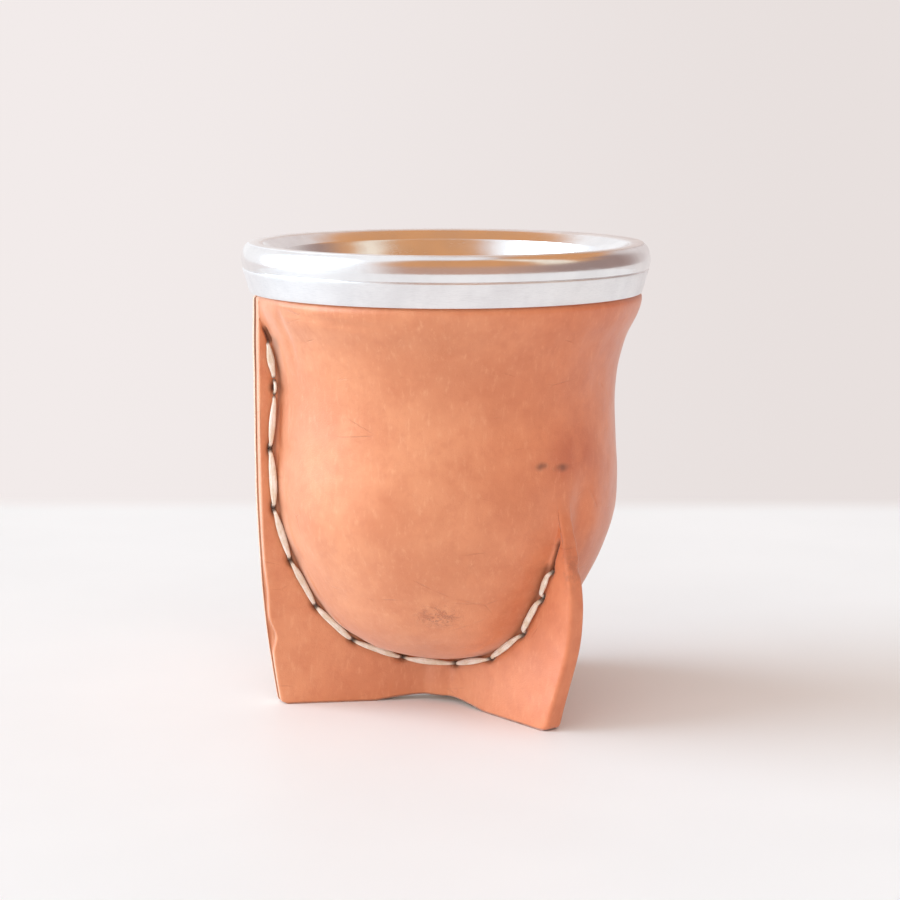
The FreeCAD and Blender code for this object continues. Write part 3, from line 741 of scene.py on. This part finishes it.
# ---- materials ---------------------------------------------------------------
class Nodes:
    """A small helper that builds one node tree."""

    def __init__(self, tree):
        self.tree = tree

    def add(self, kind, **settings):
        node = self.tree.nodes.new(kind)
        for key, value in settings.items():
            setattr(node, key, value)
        return node

    def link(self, source, target):
        self.tree.links.new(source, target)

    def feed(self, socket, value):
        if hasattr(value, "is_output"):
            self.link(value, socket)
        else:
            socket.default_value = value

    def position(self, stretch=(1, 1, 1)):
        """Object coordinates, in metres, stretched."""
        mapping = self.add("ShaderNodeMapping")
        mapping.inputs["Scale"].default_value = stretch
        self.link(self.add("ShaderNodeTexCoord").outputs["Object"], mapping.inputs["Vector"])
        return mapping.outputs["Vector"]

    def noise(self, vector, size_mm, detail=3.0, rough=0.55, distortion=0.0):
        """Noise whose features are about this many millimetres across, as a value from 0 to 1."""
        texture = self.add("ShaderNodeTexNoise")
        self.link(vector, texture.inputs["Vector"])
        texture.inputs["Scale"].default_value = 1000.0 / size_mm
        texture.inputs["Detail"].default_value = detail
        texture.inputs["Roughness"].default_value = rough
        texture.inputs["Distortion"].default_value = distortion
        return texture.outputs["Fac"]

    def cells(self, vector, size_mm, feature="F1"):
        texture = self.add("ShaderNodeTexVoronoi", feature=feature)
        self.link(vector, texture.inputs["Vector"])
        texture.inputs["Scale"].default_value = 1000.0 / size_mm
        return texture.outputs["Distance"]

    def math(self, operation, a, b=0.0, clamp=False):
        node = self.add("ShaderNodeMath", operation=operation, use_clamp=clamp)
        self.feed(node.inputs[0], a)
        self.feed(node.inputs[1], b)
        return node.outputs[0]

    def times(self, a, b):
        return self.math("MULTIPLY", a, b)

    def inverse(self, value):
        return self.math("SUBTRACT", 1.0, value)

    def ramp(self, value, low, high, to_low=0.0, to_high=1.0):
        """A smooth change from to_low to to_high as value goes from low to high."""
        node = self.add("ShaderNodeMapRange", interpolation_type="SMOOTHSTEP")
        self.feed(node.inputs["Value"], value)
        for key, number in (("From Min", low), ("From Max", high), ("To Min", to_low), ("To Max", to_high)):
            node.inputs[key].default_value = number
        return node.outputs["Result"]

    def mix(self, factor, a, b, blend="MIX"):
        node = self.add("ShaderNodeMix", data_type="RGBA", blend_type=blend)
        self.feed(node.inputs["Factor"], factor)
        self.feed(node.inputs["A"], a)
        self.feed(node.inputs["B"], b)
        return node.outputs["Result"]

    def blend(self, factor, a, b):
        """Shader a where the factor is 0 and shader b where it is 1."""
        node = self.add("ShaderNodeMixShader")
        for socket, source in zip(node.inputs, (factor, a, b)):
            self.link(source, socket)
        return node.outputs[0]

    def mask(self, name):
        return self.add("ShaderNodeAttribute", attribute_name=name).outputs["Fac"]

    def bump(self, height, distance_mm, strength=1.0, normal=None):
        node = self.add("ShaderNodeBump")
        node.inputs["Strength"].default_value = strength
        node.inputs["Distance"].default_value = distance_mm * MM
        self.link(height, node.inputs["Height"])
        if normal is not None:
            self.link(normal, node.inputs["Normal"])
        return node.outputs["Normal"]

    def spot(self, centre_mm, radii_mm):
        """1 inside an ellipsoid round a point, fading to 0 at its surface."""
        place = self.add("ShaderNodeVectorMath", operation="SUBTRACT")
        self.link(self.add("ShaderNodeTexCoord").outputs["Object"], place.inputs[0])
        place.inputs[1].default_value = [c * MM for c in centre_mm]
        scale = self.add("ShaderNodeVectorMath", operation="DIVIDE")
        self.link(place.outputs[0], scale.inputs[0])
        scale.inputs[1].default_value = [r * MM for r in radii_mm]
        size = self.add("ShaderNodeVectorMath", operation="LENGTH")
        self.link(scale.outputs[0], size.inputs[0])
        return self.ramp(size.outputs["Value"], 1.0, 0.15)

    def mark(self, place, radii_mm):
        """A spot on the gourd's cover, at an azimuth and a height."""
        return self.spot(body_point(*place), radii_mm)


class MaterialNodes(Nodes):
    """A new material, with its main shader and its output."""

    def __init__(self, name):
        self.material = bpy.data.materials.new(name)
        self.material.use_nodes = True
        super().__init__(self.material.node_tree)
        self.shader = self.tree.nodes["Principled BSDF"]
        self.output = self.tree.nodes["Material Output"]

    def surface(self, name, value):
        """Sets one of the main shader's inputs."""
        self.feed(self.shader.inputs[name], value)


def rgb(red, green, blue):
    """An sRGB colour, 0 to 255, as the linear colour that a shader takes."""
    def linear(value):
        value /= 255
        return value / 12.92 if value <= 0.04045 else ((value + 0.055) / 1.055) ** 2.4
    return (linear(red), linear(green), linear(blue), 1.0)


def body_point(azimuth, height):
    """A point on the gourd's cover, for placing marks."""
    radius = float(cover_radius(np.array([height]))[0])
    a = math.radians(azimuth)
    return radius * math.cos(a), radius * math.sin(a), height


# Marks on the hide: an azimuth in degrees and a height, then the radii of the patch.
REDDER_PATCH = ((-44.0, 55.5), (10, 10, 8))
STAINS = (((-57.9, 53.2), (2.2, 2.2, 1.3)), ((-49.6, 52.6), (3.2, 3.2, 1.2)))
BELLY_SCUFF = ((-93.0, 23.0), (6.5, 5.0, 4.4))
FOLD_SCUFF = ((-51.8, 33.0), (14, 14, 6.5))


def leather_material():
    """Vegetable-tanned hide: mottled tan, fine pores, scratches, stains, painted shade in the holes, and pale
    cut edges brightened further by a painted highlight.
    """
    n = MaterialNodes("vegetable_tanned_leather")
    place = n.position()
    clouds = n.noise(place, 14, 4, 0.6)
    mottle = n.noise(place, 3.2, 5, 0.65)
    fibre = n.noise(n.position((1, 1, 0.35)), 0.9, 4, 0.7)
    colour = n.mix(n.ramp(clouds, 0.32, 0.7), rgb(213, 133, 90), rgb(227, 151, 107))
    colour = n.mix(n.times(n.ramp(mottle, 0.42, 0.75), 0.35), colour, rgb(201, 113, 70))
    colour = n.mix(n.times(n.ramp(fibre, 0.5, 0.8), 0.40), colour, rgb(240, 180, 140))

    # a redder patch with two small ink-dark stains at the right of the belly
    patch = n.times(n.mark(*REDDER_PATCH), n.ramp(n.noise(place, 5, 3), 0.3, 0.6))
    colour = n.mix(n.times(patch, 0.5), colour, rgb(186, 92, 54))
    smudge = n.ramp(n.noise(place, 3.0, 2, 0.5), 0.25, 0.75)
    for spot in STAINS:
        stain = n.times(n.mark(*spot), smudge)
        colour = n.mix(n.times(stain, 0.75), colour, rgb(96, 58, 44))
    flecks = n.ramp(n.noise(n.position((1, 1, 1.5)), 1.3, 4, 0.75, 1.2), 0.47, 0.60)
    scuffed = n.times(n.mark(*BELLY_SCUFF), flecks)
    colour = n.mix(n.times(scuffed, 0.6), colour, rgb(184, 98, 60))

    # painted shade: the hide is a little darker and redder towards the right, the side away from the light
    sides = n.add("ShaderNodeSeparateXYZ")
    n.link(n.add("ShaderNodeTexCoord").outputs["Object"], sides.inputs[0])
    place_right = n.math("ADD", sides.outputs[0], n.times(clouds, 0.012))
    painted_shade_right = n.ramp(place_right, 0.0, 0.042, 0.0, 0.75)
    colour = n.mix(painted_shade_right, colour, (1.0, 0.70, 0.58, 1), "MULTIPLY")

    # thin scratches
    scratch = n.cells(n.position((0.35, 0.35, 1.1)), 9.0, "DISTANCE_TO_EDGE")
    scratch = n.times(n.ramp(scratch, 0.0, 0.012, 1.0, 0.0), n.ramp(n.noise(place, 8, 2), 0.55, 0.7))
    colour = n.mix(n.times(scratch, 0.14), colour, rgb(184, 104, 66))

    fold = n.mask("fold")
    rubbed = n.times(fold, n.ramp(n.noise(place, 2.4, 4, 0.7), 0.38, 0.62))
    rubbed = n.times(rubbed, n.mark(*FOLD_SCUFF))
    colour = n.mix(n.times(rubbed, 0.6), colour, rgb(150, 80, 54))
    raw = n.mask("raw")
    # the cut edges and the underside are pale: partly the hide's own paler colour, partly a painted highlight
    pale_edge_and_highlight = n.mix(n.ramp(n.noise(place, 0.5, 4, 0.8), 0.35, 0.7), rgb(255, 226, 204), rgb(240, 192, 160))
    colour = n.mix(raw, colour, pale_edge_and_highlight)
    # painted shade in and round the holes, in the slits and beside the lacing, with the dark joints between
    # layers
    dark = n.mask("dark")
    colour = n.mix(dark, colour, rgb(84, 44, 24))
    n.surface("Base Color", colour)

    pores = n.ramp(n.cells(place, 0.42), 0.0, 0.5)
    grain = n.math("ADD", n.times(pores, 0.5), n.noise(place, 0.9, 4, 0.6))
    normal = n.bump(grain, 0.05, 0.8)
    normal = n.bump(n.noise(place, 5.0, 3, 0.5), 0.30, 0.5, normal)
    cuts = n.math("ADD", n.times(scratch, -1.0), n.times(scuffed, -1.2))
    normal = n.bump(cuts, 0.10, 0.8, normal)
    nap = n.times(raw, n.noise(place, 0.4, 4, 0.8))
    n.surface("Normal", n.bump(nap, 0.25, 0.9, normal))

    worn = n.ramp(n.noise(place, 6.0, 4, 0.6), 0.3, 0.75, 0.40, 0.55)
    rough = n.math("ADD", worn, n.times(raw, 0.3))
    n.surface("Roughness", n.math("ADD", rough, n.times(dark, 0.3), True))
    n.surface("Specular IOR Level", 0.6)
    n.surface("Coat Weight", 0.30)
    n.surface("Sheen Weight", 0.35)
    n.surface("Sheen Roughness", 0.4)
    n.surface("Coat Roughness", 0.42)
    return n.material


def lacing_material():
    """Waxed pale thong: lengthwise fibres, yellowed in places, with painted shade where it goes down into the
    holes.
    """
    n = MaterialNodes("waxed_thong")
    place = n.position()
    colour = n.mix(n.ramp(n.noise(place, 2.2, 3, 0.6), 0.35, 0.7), rgb(250, 243, 232), rgb(232, 216, 192))
    streak = n.times(n.mask("around"), 55.0)
    wave = n.math("SINE", n.math("ADD", streak, n.times(n.noise(place, 1.5, 2), 9.0)))
    colour = n.mix(n.ramp(wave, 0.2, 1.0, 0.0, 0.2), colour, rgb(206, 184, 152))
    # painted shade where the lace goes down into the holes
    dark = n.ramp(n.mask("dark"), 0.12, 0.75)
    n.surface("Base Color", n.mix(n.times(dark, 0.8), colour, rgb(84, 58, 40)))
    n.surface("Normal", n.bump(wave, 0.03, 0.5, n.bump(n.noise(place, 0.35, 3), 0.04, 0.6)))
    n.surface("Roughness", n.ramp(n.noise(place, 0.8, 3), 0.3, 0.7, 0.42, 0.6))
    n.surface("Sheen Weight", 0.15)
    return n.material


def rim_material():
    """Aluminium: brushed round the band, satin on the flat top, polished on the bead and in the funnel."""
    n = MaterialNodes("turned_aluminium")
    place = n.add("ShaderNodeSeparateXYZ")
    n.link(n.add("ShaderNodeTexCoord").outputs["Object"], place.inputs[0])
    x, y, z = place.outputs
    angle = n.math("ARCTAN2", y, x)
    radius = n.math("SQRT", n.math("ADD", n.times(x, x), n.times(y, y)))
    round_it = n.add("ShaderNodeCombineXYZ")
    n.link(n.times(angle, 0.0035), round_it.inputs[0])
    n.link(z, round_it.inputs[1])
    n.link(radius, round_it.inputs[2])
    lines = n.noise(round_it.outputs[0], 0.12, 4, 0.7)
    band, top = n.mask("band"), n.mask("top")
    inside = n.mask("inside")
    satin = n.math("MAXIMUM", band, n.times(top, 0.9))
    object_place = n.position()
    smear = n.noise(object_place, 7.0, 4, 0.6)
    tone = n.mix(n.ramp(smear, 0.35, 0.7), (0.90, 0.90, 0.91, 1), (0.83, 0.83, 0.845, 1))
    tone = n.mix(n.times(n.ramp(lines, 0.45, 0.7), n.times(satin, 0.25)), tone,
                 (0.62, 0.62, 0.64, 1))
    n.surface("Base Color", tone)
    n.surface("Metallic", 1.0)
    polish = n.ramp(smear, 0.3, 0.75, 0.13, 0.20)
    polish = n.math("ADD", polish, n.times(inside, 0.05))
    rough = n.math("ADD", polish, n.times(satin, 0.22))
    rough = n.math("ADD", rough, n.times(n.ramp(lines, 0.4, 0.7), 0.05), True)
    n.surface("Roughness", rough)
    fine = n.bump(lines, 0.006, 0.6)
    dents = n.bump(n.noise(object_place, 9.0, 2, 0.4), 0.10, 0.5, fine)
    n.surface("Normal", dents)
    return n.material


def gourd_material():
    """Dry calabash, stained dark inside by the leaf, with streaks that run down it."""
    n = MaterialNodes("calabash")
    place = n.position()
    streaks = n.noise(n.position((1, 1, 0.2)), 3.0, 5, 0.65)
    spots = n.noise(place, 1.2, 4, 0.7)
    colour = n.mix(n.ramp(streaks, 0.3, 0.7), rgb(150, 108, 62), rgb(104, 68, 38))
    colour = n.mix(n.times(n.ramp(spots, 0.5, 0.72), 0.6), colour, rgb(66, 44, 24))
    n.surface("Base Color", colour)
    n.surface("Roughness", n.ramp(spots, 0.3, 0.7, 0.6, 0.85))
    n.surface("Normal", n.bump(spots, 0.25, 0.7, n.bump(streaks, 0.3, 0.5)))
    return n.material


# ---- studio ------------------------------------------------------------------
CAMERA_DISTANCE = 500.0
CAMERA_HEIGHT = 129.8
CAMERA_PITCH, CAMERA_YAW, CAMERA_ROLL = 8.858, -0.105, 0.11      # degrees
LENS = 98.6
# painted light: the wall is lighter on the left, where the light comes from, and darker on the right
WALL_LEFT, WALL_RIGHT = rgb(242, 235, 234), rgb(232, 224, 222)
WALL_SPREAD = 0.17           # sideways slope over which the wall goes from one colour to the other
TABLE_SIZE = 6000.0
TABLE_EDGE_Y, TABLE_FADE = 226.0, 14.0
TABLE_COLOURS = ((0.825, 0.865, 0.885, 1), (0.845, 0.885, 0.905, 1))
FILL_STRENGTH = 0.64
FILL_COLOUR = (1.0, 0.83, 0.75, 1)
# Each soft sun: its direction from the cup, strength, softness in degrees across and colour.
SUNS = {
    "window": ((-0.90, -0.02, 0.46), 1.82, 52.0, (0.70, 0.90, 1.05)),
    "low_window": ((-0.95, 0.14, 0.16), 0.85, 44.0, (0.85, 0.95, 1.05)),
    "room": ((-0.62, -0.70, 0.36), 1.85, 120.0, (0.98, 0.92, 0.88)),
}


def camera():
    data = bpy.data.cameras.new("camera")
    data.lens, data.sensor_width = LENS, 36.0
    data.clip_start, data.clip_end = 0.01, 20.0
    eye = bpy.data.objects.new("camera", data)
    bpy.context.scene.collection.objects.link(eye)
    turn = Matrix.Rotation(math.radians(CAMERA_YAW), 4, "Z") @ Matrix.Rotation(
        math.radians(90 - CAMERA_PITCH), 4, "X") @ Matrix.Rotation(math.radians(CAMERA_ROLL), 4, "Z")
    eye.matrix_world = Matrix.Translation((0, -CAMERA_DISTANCE * MM, CAMERA_HEIGHT * MM)) @ turn
    bpy.context.scene.camera = eye


def floor():
    """A pale table that fades into the wall's colour at its far edge."""
    points = TABLE_SIZE * np.array([(-1, -1, 0), (1, -1, 0), (1, 1, 0), (-1, 1, 0)])
    mesh = bpy.data.meshes.new("table")
    mesh.from_pydata((points * MM).tolist(), [], [(0, 1, 2, 3)])
    table = bpy.data.objects.new("table", mesh)
    bpy.context.scene.collection.objects.link(table)
    n = MaterialNodes("table")
    place = n.add("ShaderNodeSeparateXYZ")
    n.link(n.add("ShaderNodeTexCoord").outputs["Object"], place.inputs[0])
    far = n.ramp(place.outputs[1], (TABLE_EDGE_Y - TABLE_FADE) * MM, (TABLE_EDGE_Y + TABLE_FADE) * MM)
    soft = n.noise(n.position(), 60, 2)
    n.surface("Base Color", n.mix(n.ramp(soft, 0.3, 0.7), *TABLE_COLOURS))
    n.surface("Roughness", 0.55)
    n.surface("Specular IOR Level", 0.3)
    wall = n.add("ShaderNodeEmission")
    across = n.math("DIVIDE", place.outputs[0], n.math("ADD", place.outputs[1], CAMERA_DISTANCE * MM))
    n.link(n.mix(n.ramp(across, -WALL_SPREAD, WALL_SPREAD), WALL_LEFT, WALL_RIGHT), wall.inputs["Color"])
    seen = n.add("ShaderNodeLightPath")
    show = n.math("MAXIMUM", seen.outputs["Is Camera Ray"],
                  n.math("MAXIMUM", seen.outputs["Is Glossy Ray"], seen.outputs["Is Transmission Ray"]))
    n.link(n.blend(n.times(far, show), n.shader.outputs[0], wall.outputs[0]), n.output.inputs["Surface"])
    mesh.materials.append(n.material)


def world():
    """Soft even light, a pale wall for the camera, and a room for gloss: bright left, warm and dim."""
    w = bpy.data.worlds.new("studio")
    bpy.context.scene.world = w
    w.use_nodes = True
    n = Nodes(w.node_tree)
    n.tree.nodes.clear()

    direction = n.add("ShaderNodeSeparateXYZ")
    n.link(n.add("ShaderNodeTexCoord").outputs["Generated"], direction.inputs[0])
    x, y, z = direction.outputs
    side = n.math("ARCTAN2", x, n.times(y, -1.0))     # 0 in front, positive to the right
    room = n.mix(n.ramp(side, 0.5, 1.3), rgb(196, 156, 138), rgb(160, 136, 130))
    room = n.mix(n.ramp(side, 2.0, 2.7), room, rgb(226, 216, 214))
    left = n.times(side, -1.0)
    room = n.mix(n.ramp(left, 0.35, 0.9), room, (1.0, 0.99, 1.0, 1))
    window = n.times(n.ramp(left, 0.35, 0.9), n.inverse(n.ramp(left, 2.3, 2.8)))
    ahead = n.times(n.ramp(z, 0.30, 0.45), n.inverse(n.ramp(n.math("ABSOLUTE", side), 1.5, 2.0)))
    amber = n.math("MAXIMUM", ahead, n.ramp(z, 0.52, 0.66))
    amber = n.times(amber, n.inverse(window))
    amber = n.times(amber, n.inverse(n.ramp(z, 0.93, 0.985)))
    room = n.mix(amber, room, rgb(216, 156, 108))
    lamp = n.inverse(n.ramp(n.math("ABSOLUTE", n.math("SUBTRACT", side, 1.2)), 0.12, 0.3))
    room = n.mix(n.times(lamp, amber), room, (1.0, 0.90, 0.76, 1))
    room = n.mix(n.ramp(z, 0.95, 0.99), room, (0.92, 0.90, 0.91, 1))

    path = n.add("ShaderNodeLightPath")
    fill = n.add("ShaderNodeBackground")
    fill.inputs["Color"].default_value = FILL_COLOUR
    fill.inputs["Strength"].default_value = FILL_STRENGTH
    gloss = n.add("ShaderNodeBackground")
    n.link(room, gloss.inputs["Color"])
    wall = n.add("ShaderNodeBackground")
    across = n.ramp(n.math("DIVIDE", x, n.math("ABSOLUTE", y)), -WALL_SPREAD, WALL_SPREAD)
    n.link(n.mix(across, WALL_LEFT, WALL_RIGHT), wall.inputs["Color"])
    unseen = n.blend(path.outputs["Is Glossy Ray"], fill.outputs[0], gloss.outputs[0])
    shown = n.math("MAXIMUM", path.outputs["Is Camera Ray"], path.outputs["Is Transmission Ray"])
    n.link(n.blend(shown, unseen, wall.outputs[0]), n.add("ShaderNodeOutputWorld").inputs["Surface"])


def lights():
    for name, (direction, strength, softness, colour) in SUNS.items():
        data = bpy.data.lights.new(name, "SUN")
        data.energy, data.angle = strength, math.radians(softness)
        data.color = colour
        lamp = bpy.data.objects.new(name, data)
        bpy.context.scene.collection.objects.link(lamp)
        lamp.rotation_euler = Vector(direction).to_track_quat("Z", "Y").to_euler()
        lamp.visible_glossy = name != "room"


# ---- the scene ---------------------------------------------------------------
bpy.context.scene.view_settings.view_transform = "Standard"
camera()
floor()
world()
lights()
leather_skin()
laces()
rim_metal()
gourd_shell()
